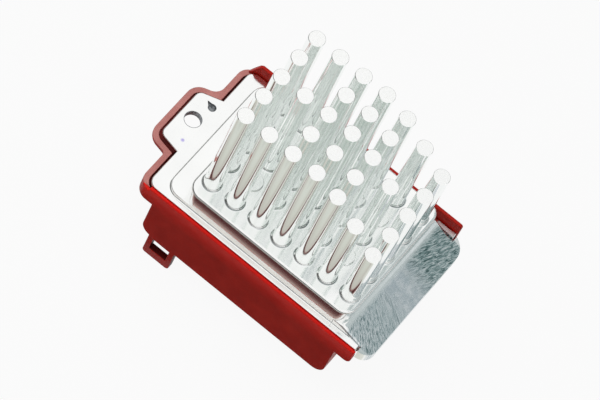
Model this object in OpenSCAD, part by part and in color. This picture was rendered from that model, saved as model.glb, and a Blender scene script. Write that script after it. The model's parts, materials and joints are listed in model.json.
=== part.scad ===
// Blower motor resistor: a pin-fin heat sink on a moulded housing that holds the control board.
// The origin is on the axis of the mounting screw's hole, at the top face of the base plate.
// +X runs along the plate from the tab to the lip, and +Z runs along the cooling pins.

/* [Screw tab] */
// Diameter of the mounting screw's hole
tab_hole_d = 5.6; // [4:0.1:6.4]
// Thickness of the tab
tab_t = 2.4; // [2:0.1:3]
// Distance from the hole's axis to the end of the tab
tab_reach = 4.7; // [4.2:0.1:8]
// Half width of the tab at its end, on the front side
tab_end_front = 11; // [8:0.1:12]
// Half width of the tab at its end, on the far side
tab_end_far = 9.9; // [8:0.1:12]
// Half width of the tab where it meets the plate, on the front side
tab_root_front = 12.7; // [12.2:0.1:16]
// Half width of the tab where it meets the plate, on the far side
tab_root_far = 12.6; // [12.2:0.1:16]
// Radius of the tab's corners
tab_corner_r = 2.4; // [1.5:0.1:3.5]
// Distance from the hole's axis to the dimple beside it, along the plate
dimple_x = 1.9; // [1:0.1:3]
// Distance from the hole's axis to the dimple, across the plate
dimple_y = 7.4; // [6:0.1:8]
// Radius of the teardrop dimple
dimple_r = 1.4; // [0.8:0.1:1.6]
// Length of the dimple from its round end's centre to its point
dimple_l = 2.8; // [2:0.1:4]
// Depth of the dimple
dimple_depth = 0.9; // [0.3:0.1:1.2]

/* [Base plate] */
// Thickness of the plate
plate_t = 3.5; // [2.5:0.1:5]
// Width of the plate's ledges beside the platform
ledge_w = 2; // [1.5:0.1:4]
// Length of the ledges beyond the platform
ledge_run = 7.1; // [6.2:0.1:9]
// Distance from the hole's axis to the plate's shoulder
shoulder_x = 3; // [2.4:0.1:5]
// Radius of the plate's corners at the shoulder
plate_corner_r = 3; // [1.5:0.1:5]
// Width of the bare strip between the shoulder and the step
shoulder_strip = 5; // [3:0.1:7]
// Height of the step round the platform
step_h = 1.5; // [0.8:0.1:3]
// Width of the step in front of the platform's tab end
step_strip = 6.2; // [4.5:0.1:8]

/* [Platform] */
// Distance from the outer pins' axes to the platform's ends
pin_margin_x = 4.65; // [4.1:0.05:6]
// Distance from the outer pins' axes to the platform's sides
pin_margin_y = 7; // [6:0.1:9]
// Height of the platform above the plate
platform_h = 9; // [8:0.1:12]
// Radius of the platform's upright corners
platform_corner_r = 4.5; // [3:0.1:7]
// Rounding of the platform's top edge
platform_edge_r = 0.9; // [0.4:0.1:1.5]
// Thickness of the platform's top
platform_top_t = 5; // [4.6:0.1:6]
// Thickness of the platform's side walls
platform_wall = 4; // [2.5:0.1:5]

/* [Lip] */
// Length of the lip's wide end beyond the plate
lip_reach = 4.9; // [3:0.1:8]
// Distance of the lip's wide end inside the plate's edges
lip_inset = 0.4; // [0.1:0.1:2]
// Height of the lip above the plate where it leaves the platform
lip_rise = 2.7; // [1:0.1:4]
// Depth of the lip's end below the plate's top
lip_drop = 2.5; // [1:0.1:4]
// Radius of the lip's corners
lip_corner_r = 5; // [2:0.1:8]
// Rounding of the upper edges of the lip's neck
lip_edge_r = 1.2; // [0.5:0.1:2]

/* [Cooling pins] */
// Distance between neighbouring pins, along and across
pin_pitch = 9; // [8:0.1:10]
// Columns of pins on each side of the middle one
pin_side_cols = 3; // [3:1:4]
// Rows of pins on each side of the middle one
pin_side_rows = 2; // [2:1:3]
// Diameter of a pin just above its foot
pin_base_d = 5.9; // [4.5:0.1:6.5]
// Diameter of a pin at its tip
pin_tip_d = 5.5; // [4:0.1:6.2]
// Height of the tallest pins above the platform
pin_h = 45.3; // [35:0.1:55]
// Height lost for each millimetre beyond the middle columns
pin_fall = 0.78; // [0.3:0.01:0.95]
// Radius of the fillet at a pin's foot
pin_foot_r = 0.7; // [0.3:0.1:1]
// Chamfer on a pin's tip
pin_tip_c = 0.15; // [0.1:0.05:0.6]
// Diameter of the low pads where a pin is left out
stub_d = 6.8; // [5:0.1:8]
// Height of the low pads
stub_h = 0.8; // [0.3:0.1:2]

/* [Housing] */
// Thickness of the box's walls
wall = 2; // [1.6:0.1:2.6]
// Thickness of the box's floor
floor_t = 2; // [1.6:0.1:3]
// Depth of the box below the plate's underside
box_depth = 20.9; // [20:0.1:26]
// Distance from the platform's end to the box's end
box_overrun = 2; // [1.5:0.1:3]
// Distance from the rim's outer face to the box
box_inset = 7.2; // [6:0.1:8]
// Radius of the box's two lower edges
box_edge_r = 4; // [2.7:0.1:5]
// Gap between the rim and the plate's tab end
rim_gap = 0.8; // [0.3:0.1:1.2]
// Width of the rim's top
rim_w = 2; // [1.4:0.1:3]
// Depth of the rim's top below the plate's top
rim_sink = 1.7; // [0.5:0.1:2.5]
// Thickness of the seat under the tab's edges
tab_seat_t = 0.8; // [0.6:0.1:1]
// Distance from the hole's axis to the seat at the tab's end
tab_seat_reach = 3.3; // [3.1:0.1:3.8]
// Radius of the rim's corners
rim_corner_r = 4.5; // [4:0.1:6]
// Fillet where the tab's rim meets the shoulder, on the far side
rim_far_fillet = 4; // [1:0.1:5]
// Fillet where the tab's rim meets the shoulder, on the front side
rim_front_fillet = 1; // [0.5:0.1:2]
// Height of the flange below the plate's underside
flange_h = 4.2; // [3:0.1:6]
// Thickness of the flange's floor under the plate's tab end
flange_floor_t = 2; // [1.2:0.1:2.8]
// Gap between the plate's long edges and the housing
side_gap = 0.2; // [0.1:0.05:0.5]
// Thickness of the lip along the front
front_lip_t = 1; // [0.7:0.1:1.6]
// Depth of the front lip's top below the plate's top
front_lip_sink = 0.3; // [0:0.1:1.5]
// Rounding of the front lip's top edge
front_lip_r = 0.6; // [0.2:0.1:0.7]
// Thickness of the wall along the far side
far_wall_t = 1.2; // [0.8:0.1:1.8]
// Height of the far wall above the plate's top
far_wall_rise = 4.4; // [3:0.1:7]
// Length of the far wall's rise out of the rim
far_wall_ramp = 3.3; // [1:0.1:8]
// Rounding of the far wall's other end
far_wall_end_r = 1; // [0.5:0.1:3]
// Length of the side rails beyond the box
rail_run = 5.6; // [3:0.1:5.8]
// Rounding of the rails' lower ends
rail_end_r = 2; // [0.5:0.1:2.8]
// Width of the notch for the mounting screw's head, under the tab
screw_notch_w = 15; // [13:0.5:17]
// Reach of that notch from the hole's axis
screw_notch_reach = 4.2; // [3.6:0.1:5.5]

/* [Latch loops] */
// Width of a loop
loop_w = 10.3; // [9:0.1:13]
// Thickness of a loop
loop_t = 2.4; // [1.6:0.1:2.8]
// Width of a loop's two legs
loop_leg = 2; // [1.4:0.1:2.3]
// Height of a loop's lower bar
loop_bar = 4; // [2:0.1:5]
// Radius of a loop's corners
loop_r = 1.2; // [0.5:0.1:2]
// Distance from the box's end to its loop
loop_inset = 3.4; // [3:0.1:6]

/* [Sockets] */
// Depth of the sockets below the box
socket_depth = 10.6; // [9.4:0.1:14]
// Thickness of a socket's wall
socket_wall = 1.6; // [1:0.1:2]
// Width of both sockets' insides
socket_w = 15; // [12:0.5:16]
// Distance from the box's long sides to the sockets
socket_setback = 7.1; // [6:0.1:9]
// Distance from the box's tab end to the motor socket
motor_inset = 2.55; // [2:0.05:5]
// Distance from the box's lip end to the supply socket
supply_inset = 3.85; // [2:0.05:5]
// Length of the motor socket's inside
motor_socket_l = 17; // [15.5:0.5:18]
// Length of the supply socket's inside
supply_socket_l = 22; // [20:0.5:23]
// Radius of a socket's inner corners
socket_r = 1; // [0.5:0.1:2]
// Width of the notch for a plug's latch
latch_notch_w = 5.8; // [4:0.1:7]
// Depth of the notch for a plug's latch
latch_notch_h = 4; // [2:0.1:6]

/* [Blades] */
// Thickness of the blades
blade_t = 0.8; // [0.6:0.05:1]
// Width of a power blade
power_blade_w = 6.3; // [4.8:0.1:6.6]
// Width of a signal blade
signal_blade_w = 2.8; // [2.2:0.1:3.2]
// Distance between the two motor blades
motor_pitch = 8; // [7:0.1:9]
// Distance between the two supply blades
supply_pitch = 16; // [14:0.1:17]
// Distance between the two signal blades
signal_pitch = 8; // [6:0.1:9]
// Distance of a blade's tip inside the socket's mouth
blade_sink = 1.6; // [0.8:0.1:3]
// Taper at a blade's tip
blade_taper = 0.9; // [0.4:0.1:1]
// Width of the shoulder on each side of a blade, above the floor
blade_shoulder = 0.7; // [0.4:0.1:1.2]
// Height of that shoulder
blade_shoulder_h = 2.4; // [1.5:0.1:4]
// Width of a blade's tail through the board
blade_tail_w = 2; // [1.2:0.1:2.2]
// Height of a blade's tail above the board
blade_tail_out = 0.8; // [0.4:0.1:1.5]
// Clearance round a blade or a lead in its slot
slot_gap = 0.12; // [0.05:0.01:0.2]

/* [Circuit board] */
// Gap between the board's ends and the box
board_end_gap = 1.55; // [0.8:0.05:2.2]
// Gap between the board's long edges and the box
board_side_gap = 2.3; // [0.8:0.1:3]
// Thickness of the board
board_t = 1.6; // [1:0.1:2]
// Depth of the board's top below the plate's underside
board_drop = 3.5; // [2.5:0.1:5]
// Radius of the board's corners
board_corner_r = 2; // [1:0.1:4]

/* [Screws] */
// Diameter of the screws
screw_d = 3; // [2.5:0.1:3]
// Diameter of a screw's head
screw_head_d = 5.8; // [5:0.1:6]
// Height of a screw's head
screw_head_h = 2.2; // [1.5:0.1:2.4]
// Clearance round a screw in its tapped hole
thread_gap = 0.05; // [0.03:0.01:0.1]
// Clearance round a screw in a plain hole
screw_gap = 0.2; // [0.1:0.05:0.3]
// Clearance round and below a screw's head in its recess
head_gap = 0.4; // [0.2:0.1:0.6]
// Depth of thread that a screw takes up
thread_l = 3.6; // [2.5:0.1:3.8]
// Depth of a tapped hole beyond the screw's tip
tip_gap = 0.4; // [0.2:0.1:0.6]
// Diameter of the bosses under the platform
boss_d = 8; // [6.5:0.1:9]
// Diameter of the housing's screw pillars
pillar_d = 9; // [8.4:0.1:10]

/* [Power transistors] */
// Length of a transistor's body
package_l = 20.8; // [18:0.1:21.5]
// Width of a transistor's body
package_w = 15.9; // [14:0.1:16.2]
// Thickness of a transistor's body
package_t = 5; // [4:0.1:5.3]
// Distance from the body's end to its screw hole
package_hole_in = 6.2; // [5:0.1:7]
// Radius of the notches in the body's sides
package_notch_r = 1.6; // [1:0.1:2]
// Width of a lead
lead_w = 1.2; // [0.8:0.1:1.4]
// Thickness of a lead
lead_t = 0.6; // [0.4:0.1:0.8]
// Distance between leads
lead_pitch = 5.4; // [4.8:0.1:5.6]
// Length of a lead before it bends down
lead_run = 2.8; // [2:0.1:3.2]
// Depth of a lead's end below the board
lead_out = 1.2; // [0.5:0.1:2]
// Thickness of an insulating pad
insulator_t = 0.3; // [0.2:0.05:0.5]
// Margin of an insulating pad round its transistor
insulator_margin = 0.8; // [0.3:0.1:0.9]

/* [Small components] */
// Diameter of the bulk capacitor
bulk_cap_d = 10; // [8:0.5:11]
// Height of the bulk capacitor
bulk_cap_h = 10; // [8:0.5:11]
// Distance of the bulk capacitor from the middle column, towards the lip
bulk_cap_x = 7; // [6.5:0.1:8]
// Distance of the bulk capacitor from the board's front edge
bulk_cap_in = 9; // [7:0.1:10]
// Length of a filter capacitor
film_cap_l = 11; // [8:0.5:12]
// Width of a filter capacitor
film_cap_w = 4; // [3:0.5:5]
// Height of a filter capacitor
film_cap_h = 8; // [6:0.5:10]
// Distance between the two filter capacitors
film_cap_pitch = 6; // [5.5:0.1:6.8]
// Distance of the filter capacitors from the middle column, towards the tab
film_cap_x = 7.5; // [7:0.1:8]
// Distance of the filter capacitors from the board's far edge
film_cap_in = 14; // [12:0.1:15]
// Length of the control chip's body
chip_l = 8.7; // [7:0.1:9.5]
// Width of the control chip's body
chip_w = 3.9; // [3:0.1:4.5]
// Thickness of the control chip's body
chip_t = 1.5; // [1:0.1:2]
// Legs along each side of the control chip
chip_side_legs = 7; // [4:1:7]
// Distance of the control chip from the middle column, towards the tab
chip_x = 4.5; // [4:0.1:5]
// Distance of the control chip from the board's far edge
chip_in = 4.6; // [4:0.1:5]
// Length of a chip resistor
chip_res_l = 3.2; // [2:0.1:3.6]
// Width of a chip resistor
chip_res_w = 1.6; // [1.2:0.1:2]
// Thickness of a chip resistor
chip_res_t = 0.6; // [0.4:0.1:0.8]
// Distance of the first chip resistor from the middle column, towards the lip
chip_res_x = 5; // [4:0.1:5.6]
// Distance of the first row of chip resistors from the board's far edge
chip_res_in = 2.6; // [1.5:0.1:3]
// Distance between the columns of chip resistors
chip_res_pitch_x = 4.5; // [4:0.1:5]
// Distance between the rows of chip resistors
chip_res_pitch_y = 2.8; // [2.2:0.1:3.2]
// Length of the shunt strip's bridge
shunt_l = 14; // [12:0.5:15]
// Width of the shunt strip
shunt_w = 5; // [3:0.5:6]
// Thickness of the shunt strip
shunt_t = 1; // [0.6:0.1:1.4]
// Height of the shunt strip's bridge above the board
shunt_h = 3.4; // [2.6:0.1:4.5]
// Length of the shunt strip's feet
shunt_foot = 3; // [2:0.1:3.4]
// Distance of the shunt strip from the middle column, towards the tab
shunt_x = 20.5; // [19.5:0.1:22]
// Distance of the shunt strip from the board's far edge
shunt_in = 6.1; // [4:0.1:6.6]
// Diameter of the suppressor diode
diode_d = 5; // [4:0.1:5.6]
// Length of the suppressor diode
diode_l = 9; // [7:0.5:10]
// Distance of the suppressor diode from the middle column, towards the tab
diode_x = 12.5; // [11:0.1:14]
// Distance of the suppressor diode from the board's front edge
diode_in = 10; // [9:0.1:11]
// Diameter of the thermal fuse
fuse_d = 4; // [3:0.1:4.4]
// Length of the thermal fuse's barrel
fuse_l = 9; // [7:0.5:10]
// Length of the cone at the fuse's lead
fuse_nose = 2; // [1:0.1:2.4]
// Gap between the thermal fuse and the platform's front wall
fuse_gap = 1.5; // [0.5:0.1:2]
// Distance of the thermal fuse from the middle column, towards the lip
fuse_x = 10; // [8:0.1:11]
// Diameter of a round wire lead
wire_d = 0.9; // [0.6:0.1:1.1]
// Distance from a component's end to its bent lead
wire_run = 2; // [1.6:0.1:2.4]

/* [Hidden] */
$fn = 48;
// Overlap that fuses the shapes of one piece, and overshoot of a cut
fuse_in = 0.5;
over = 1;

// Plate and platform along X
step_x0 = shoulder_x + shoulder_strip;
platform_x0 = step_x0 + step_strip;
platform_x1 = platform_x0 + 2 * pin_side_cols * pin_pitch + 2 * pin_margin_x;
platform_y = pin_side_rows * pin_pitch + pin_margin_y;
plate_x1 = platform_x1 + ledge_run;
plate_y = platform_y + ledge_w;
mid_x = (platform_x0 + platform_x1) / 2;
ceiling_z = platform_h - platform_top_t;
lip_x1 = plate_x1 + lip_reach;
lip_y = plate_y - lip_inset;
dimple_turn = 157;

// Places without a pin, counted in columns and rows from the middle
bare_col = 2;
bare_row = 1;
bare_x = bare_col * pin_pitch;
bare_y = bare_row * pin_pitch;
// Directions from the middle to the transistors and to the screw bosses
transistor_sides = [[-1, -1], [1, 1]];
boss_sides = [[-1, 1], [1, -1]];

// Housing across Y and along X
front_in = -plate_y - side_gap;
front_y = front_in - front_lip_t;
far_in = plate_y + side_gap;
far_y = far_in + far_wall_t;
pocket_x0 = shoulder_x - rim_gap;
rim_x0 = pocket_x0 - rim_w;
box_x0 = rim_x0 + box_inset;
box_x1 = platform_x1 + box_overrun;
rail_x1 = box_x1 + rail_run;
flange_z0 = -plate_t - flange_h;
box_z0 = -plate_t - box_depth;
floor_z = box_z0 + floor_t;
mouth_z = box_z0 - socket_depth;

// Board, sockets and blades
board_z1 = -plate_t - board_drop;
board_z0 = board_z1 - board_t;
board_x0 = box_x0 + wall + board_end_gap;
board_x1 = box_x1 - wall - board_end_gap;
board_y0 = front_y + wall + board_side_gap;
board_y1 = far_y - wall - board_side_gap;
socket_half = socket_w / 2 + socket_wall;
motor_at = [
    box_x0 + motor_inset + socket_wall + motor_socket_l / 2,
    front_y + socket_setback + socket_half
];
supply_at = [
    box_x1 - supply_inset - socket_wall - supply_socket_l / 2,
    far_y - socket_setback - socket_half
];
motor_blades = [for (side = [-1, 1]) motor_at + [side * motor_pitch / 2, 0]];
supply_blades = [for (side = [-1, 1]) supply_at + [side * supply_pitch / 2, 0]];
signal_blades = [for (side = [-1, 1]) supply_at + [0, side * signal_pitch / 2]];
power_blades = concat(motor_blades, supply_blades);

// Screws
tap_d = screw_d + 2 * thread_gap;
screw_hole_d = screw_d + 2 * screw_gap;
recess_d = screw_head_d + 2 * head_gap;
recess_h = screw_head_h + head_gap;
transistor_z = ceiling_z - insulator_t;
seat_z = transistor_z - package_t;
lead_x = package_l - package_hole_in + lead_run;
lead_z = package_t / 2;

// Tip of the long screws that hold the housing and the board
boss_screw_z1 = ceiling_z + platform_top_t / 4;

// Places of the small components
bulk_cap_at = [mid_x + bulk_cap_x, board_y0 + bulk_cap_in];
film_cap_at = [mid_x - film_cap_x, board_y1 - film_cap_in];
chip_at = [mid_x - chip_x, board_y1 - chip_in];
shunt_at = [mid_x - shunt_x, board_y1 - shunt_in];
diode_at = [mid_x - diode_x, board_y0 + diode_in];
fuse_at = [mid_x + fuse_x, platform_wall + fuse_gap + fuse_d / 2 - platform_y];
chip_res_at = [mid_x + chip_res_x, board_y1 - chip_res_in];

// Outlines seen from above

// A rectangle with all four corners rounded
module round_rect(x0, x1, y0, y1, r) {
    translate([x0 + r, y0]) square([x1 - x0 - 2 * r, y1 - y0]);
    translate([x0, y0 + r]) square([x1 - x0, y1 - y0 - 2 * r]);
    for (x = [x0 + r, x1 - r], y = [y0 + r, y1 - r]) translate([x, y]) circle(r);
}

// A rectangle with its two corners at x0 rounded
module shoulder_rect(x0, x1, y0, y1, r) {
    translate([x0 + r, y0]) square([x1 - x0 - r, y1 - y0]);
    translate([x0, y0 + r]) square([x1 - x0, y1 - y0 - 2 * r]);
    for (y = [y0 + r, y1 - r]) translate([x0 + r, y]) circle(r);
}

// Slope of a tab side and a point on it, grown outwards; side is 1 on the far side and -1 in front
function tab_slope(end, root) = atan((root - end) / (shoulder_x + tab_reach));
function tab_corner(end, side) = [tab_corner_r - tab_reach, side * (end - tab_corner_r)];
function tab_touch(end, root, side, grow) = tab_corner(end, side)
    + (tab_corner_r + grow) * [-sin(tab_slope(end, root)), side * cos(tab_slope(end, root))];
function tab_side(end, root, side, grow, x) = [
    x,
    tab_touch(end, root, side, grow).y
        + side * (x - tab_touch(end, root, side, grow).x) * tan(tab_slope(end, root))
];

// The tab's outline, grown outwards and run on under the plate
module tab_outline(grow) {
    inner_x = shoulder_x + plate_corner_r;
    far_c = tab_corner(tab_end_far, 1);
    front_c = tab_corner(tab_end_front, -1);
    r = tab_corner_r + grow;
    for (c = [far_c, front_c]) translate(c) circle(r);
    polygon([
        front_c - [r, 0],
        far_c - [r, 0],
        tab_touch(tab_end_far, tab_root_far, 1, grow),
        tab_side(tab_end_far, tab_root_far, 1, grow, inner_x),
        tab_side(tab_end_front, tab_root_front, -1, grow, inner_x),
        tab_touch(tab_end_front, tab_root_front, -1, grow)
    ]);
}

// The fillet in an inner corner at c, between edges that leave it at angles a0 and a1
module corner_fill(c, a0, a1, r) {
    half = (a1 - a0) / 2;
    mid = [cos((a0 + a1) / 2), sin((a0 + a1) / 2)];
    centre = c + r / sin(half) * mid;
    steps = 8;
    sweep = 90 - half;
    middle = (a0 + a1) / 2 + 180;
    polygon(concat(
        [c - fuse_in * mid],
        [for (i = [0:steps]) let (a = middle + sweep * (1 - 2 * i / steps)) centre + r * [cos(a), sin(a)]]
    ));
}

// The plate without its tab, with a ledge on each side of the lip
module plate_outline() {
    shoulder_rect(shoulder_x, platform_x1, -plate_y, plate_y, plate_corner_r);
    for (y = [-plate_y, platform_y])
        translate([platform_x1 - over, y])
            square([plate_x1 - platform_x1 + over, plate_y - platform_y]);
}

// The space that the rim leaves for the plate
module pocket_outline() {
    shoulder_rect(pocket_x0, rail_x1 + over, front_in, far_in, plate_corner_r + rim_gap);
    tab_outline(rim_gap);
}

// The loop of the rim that runs round the tab
module tab_rim_outline() {
    grow = rim_gap + rim_w;
    tab_outline(grow);
    corner_fill(
        tab_side(tab_end_far, tab_root_far, 1, grow, rim_x0),
        90, 180 + tab_slope(tab_end_far, tab_root_far), rim_far_fillet
    );
    corner_fill(
        tab_side(tab_end_front, tab_root_front, -1, grow, rim_x0),
        180 - tab_slope(tab_end_front, tab_root_front), 270, rim_front_fillet
    );
}

// The seat under the tab's edges, open in the middle for the mounting screw
module tab_seat_outline() {
    half = screw_notch_w / 2;
    difference() {
        intersection() {
            tab_outline(rim_gap + fuse_in);
            translate([-plate_y, -plate_y]) square([plate_y + pocket_x0, 2 * plate_y]);
        }
        shoulder_rect(-tab_seat_reach, pocket_x0 + over, -half, half, tab_corner_r);
    }
}

module flange_outline() {
    shoulder_rect(rim_x0, rail_x1, front_y, far_y, rim_corner_r);
}

// The notch that the mounting screw's head goes into
module screw_notch_outline() {
    mirror([1, 0])
        shoulder_rect(-screw_notch_reach, over, -screw_notch_w / 2, screw_notch_w / 2, tab_corner_r);
}

// Heat sink

// A pin or a low pad: a revolved profile with a filleted foot, standing at the middle of its foot
module pin(h, base_d, tip_d, foot_r) {
    base_r = base_d / 2;
    steps = 4;
    rotate_extrude() polygon(concat(
        [[0, -fuse_in], [base_r + foot_r, -fuse_in]],
        [for (i = [0:steps]) [
            base_r + foot_r * (1 - sin(90 * i / steps)),
            foot_r * (1 - cos(90 * i / steps))
        ]],
        [[tip_d / 2, h - pin_tip_c], [tip_d / 2 - pin_tip_c, h], [0, h]]
    ));
}

function is_bare(col, row) = abs(col) == bare_col && abs(row) == bare_row;
function pin_height(x) = pin_h - pin_fall * max(0, x - pin_pitch / 2);

module pin_field() {
    for (col = [-pin_side_cols:pin_side_cols], row = [-pin_side_rows:pin_side_rows])
        translate([mid_x + col * pin_pitch, row * pin_pitch, platform_h])
            if (is_bare(col, row)) pin(stub_h, stub_d, stub_d, pin_tip_c);
            else pin(pin_height(col * pin_pitch), pin_base_d, pin_tip_d, pin_foot_r);
}

// A section with its two upper corners rounded, from u0 to u1
module soft_section(u0, u1, h, edge) {
    translate([u0, 0]) square([u1 - u0, h - edge]);
    translate([u0 + edge, 0]) square([u1 - u0 - 2 * edge, h]);
    for (u = [u0 + edge, u1 - edge]) translate([u, h - edge]) circle(edge);
}

// The platform, with upright corners and a top edge that are both rounded
module platform_block() {
    r = platform_corner_r;
    edge = platform_edge_r;
    along(platform_x0 + r, platform_x1 - r) soft_section(-platform_y, platform_y, platform_h, edge);
    across(r - platform_y, platform_y - r) soft_section(platform_x0, platform_x1, platform_h, edge);
    for (x = [platform_x0 + r, platform_x1 - r], y = [r - platform_y, platform_y - r])
        translate([x, y, 0])
            rotate_extrude()
                intersection() {
                    soft_section(-r, r, platform_h, edge);
                    square([r, platform_h]);
                }
}

// The lip's section along X, drawn across the given half width
module lip_section(half) {
    start_x = platform_x1 - platform_wall;
    across(-half, half)
        polygon([
            [start_x, -plate_t],
            [start_x, lip_rise],
            [platform_x1, lip_rise],
            [lip_x1, -lip_drop],
            [lip_x1, -lip_drop - plate_t],
            [box_x1 + side_gap, -plate_t]
        ]);
}

// The inclined lip: a neck with soft upper edges, and a wide end with rounded corners
module lip() {
    slope = atan((lip_rise + lip_drop) / (lip_x1 - platform_x1));
    depth = lip_rise + lip_drop + 3 * plate_t;
    intersection() {
        lip_section(platform_y);
        translate([platform_x1, 0, lip_rise])
            rotate([0, slope, 0])
                along(-3 * platform_wall, (rail_x1 - platform_x1 + over) / cos(slope))
                    translate([0, -depth])
                        soft_section(-platform_y, platform_y, depth, lip_edge_r);
    }
    intersection() {
        lip_section(lip_y);
        translate([0, 0, -lip_drop - plate_t - over])
            linear_extrude(lip_drop + plate_t + lip_rise + 2 * over)
                intersection() {
                    mirror([1, 0]) shoulder_rect(-lip_x1, -platform_x1, -lip_y, lip_y, lip_corner_r);
                    translate([rail_x1 + side_gap, -lip_y]) square([lip_x1 - rail_x1, 2 * lip_y]);
                }
    }
}

// The hollow under the platform
module platform_hollow() {
    translate([0, 0, -plate_t - over])
        linear_extrude(ceiling_z + plate_t + over)
            round_rect(
                platform_x0 + platform_wall, platform_x1 - platform_wall,
                platform_wall - platform_y, platform_y - platform_wall,
                max(platform_corner_r - platform_wall, 0.5)
            );
}

module dimple() {
    translate([dimple_x, dimple_y, -dimple_depth])
        rotate([0, 0, dimple_turn])
            linear_extrude(dimple_depth + over) {
                circle(dimple_r);
                polygon([[0, -dimple_r], [0, dimple_r], [dimple_l, 0]]);
            }
}

module heat_sink() {
    color("silver")
    difference() {
        union() {
            difference() {
                union() {
                    translate([0, 0, -plate_t]) linear_extrude(plate_t) plate_outline();
                    translate([0, 0, -tab_t]) linear_extrude(tab_t) tab_outline(0);
                    linear_extrude(step_h)
                        shoulder_rect(step_x0, platform_x1 - platform_corner_r, -platform_y, platform_y,
                            platform_corner_r);
                    platform_block();
                    lip();
                    pin_field();
                }
                platform_hollow();
            }
            for (side = boss_sides)
                translate([mid_x + side.x * bare_x, side.y * bare_y, board_z1])
                    cylinder(d = boss_d, h = ceiling_z - board_z1 + fuse_in);
        }
        translate([0, 0, -plate_t - over]) cylinder(d = tab_hole_d, h = plate_t + 2 * over);
        dimple();
        for (side = transistor_sides)
            translate([mid_x + side.x * bare_x, side.y * bare_y, ceiling_z - over])
                cylinder(d = tap_d, h = thread_l + tip_gap + over);
        for (side = boss_sides)
            translate([mid_x + side.x * bare_x, side.y * bare_y, board_z1 - over])
                cylinder(d = tap_d, h = boss_screw_z1 + tip_gap - board_z1 + over);
    }
}

// Housing

// The box's section along X: inset is 0 for its outside and the wall for its inside
module box_profile(inset, z0, z1) {
    r = box_edge_r - inset;
    x0 = box_x0 + inset;
    x1 = box_x1 - inset;
    translate([x0, z0 + r]) square([x1 - x0, z1 - z0 - r]);
    translate([x0 + r, z0]) square([x1 - x0 - 2 * r, z1 - z0]);
    for (x = [x0 + r, x1 - r]) translate([x, z0 + r]) circle(r);
}

// Extrudes a drawing of X and Z across the part, from y0 to y1
module across(y0, y1) {
    translate([0, y1, 0]) rotate([90, 0, 0]) linear_extrude(y1 - y0) children();
}

// Extrudes a drawing of Y and Z along the part, from x0 to x1
module along(x0, x1) {
    translate([x0, 0, 0]) rotate([90, 0, 90]) linear_extrude(x1 - x0) children();
}

module front_lip_profile() {
    top = -front_lip_sink;
    translate([front_y, -plate_t - fuse_in]) square([front_lip_t, top - front_lip_r + plate_t + fuse_in]);
    translate([front_y + front_lip_r, -plate_t]) square([front_lip_t - front_lip_r, top + plate_t]);
    translate([front_y + front_lip_r, top - front_lip_r]) circle(front_lip_r);
}

// The rim round the plate's tab end: a wall on the flange, and a thin loop with a seat round the tab
module tab_rim() {
    seat_z0 = -tab_t - tab_seat_t;
    difference() {
        union() {
            translate([0, 0, -plate_t - fuse_in])
                linear_extrude(plate_t + fuse_in - rim_sink)
                    intersection() {
                        flange_outline();
                        translate([rim_x0, front_y]) square([rim_corner_r + over, far_y - front_y]);
                    }
            translate([0, 0, seat_z0]) linear_extrude(-rim_sink - seat_z0) tab_rim_outline();
        }
        translate([0, 0, -plate_t - 2 * fuse_in]) linear_extrude(plate_t + 2 * over) pocket_outline();
    }
    translate([0, 0, seat_z0]) linear_extrude(tab_seat_t) tab_seat_outline();
    translate([0, 0, -plate_t - fuse_in])
        linear_extrude(plate_t + fuse_in - tab_t)
            intersection() {
                tab_seat_outline();
                translate([rim_x0 + fuse_in, -plate_y]) square([plate_y, 2 * plate_y]);
            }
}

// The flange under the plate, with two rails that run on beyond the box
module flange() {
    r = rail_end_r;
    intersection() {
        translate([0, 0, flange_z0]) linear_extrude(flange_h) flange_outline();
        across(front_y, far_y) {
            translate([rim_x0, flange_z0]) square([rail_x1 - r - rim_x0, flange_h]);
            translate([rim_x0, flange_z0 + r]) square([rail_x1 - rim_x0, flange_h - r]);
            translate([rail_x1 - r, flange_z0 + r]) circle(r);
        }
    }
}

// The wall along the far side, which rises out of the rim's corner
module far_wall() {
    r = far_wall_end_r;
    z0 = -plate_t - fuse_in;
    intersection() {
        across(far_in - rim_gap, far_y) {
            polygon([
                [pocket_x0, z0],
                [pocket_x0, -rim_sink],
                [pocket_x0 + far_wall_ramp * 0.75, far_wall_rise - far_wall_ramp / 4],
                [pocket_x0 + far_wall_ramp, far_wall_rise],
                [rail_x1 - r, far_wall_rise],
                [rail_x1 - r, z0]
            ]);
            translate([rail_x1 - 2 * r, z0]) square([2 * r, far_wall_rise - r - z0]);
            translate([rail_x1 - r, far_wall_rise - r]) circle(r);
        }
        translate([0, 0, z0])
            linear_extrude(far_wall_rise + over - z0)
                difference() {
                    flange_outline();
                    pocket_outline();
                }
    }
}

// A loop that a plug's latch hooks into, drawn in X and Z from its lower left corner
module loop_profile() {
    top = -mouth_z + box_z0 + fuse_in + floor_t / 2;
    difference() {
        union() {
            translate([loop_r, 0]) square([loop_w - 2 * loop_r, top]);
            translate([0, loop_r]) square([loop_w, top - loop_r]);
            for (x = [loop_r, loop_w - loop_r]) translate([x, loop_r]) circle(loop_r);
        }
        translate([loop_leg, loop_bar])
            square([loop_w - 2 * loop_leg, socket_depth - loop_bar - socket_wall / 2]);
    }
}

module latch_loops() {
    across(front_y, front_y + loop_t) translate([box_x0 + loop_inset, mouth_z]) loop_profile();
    across(far_y - loop_t, far_y) translate([box_x1 - loop_inset - loop_w, mouth_z]) loop_profile();
}

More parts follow.
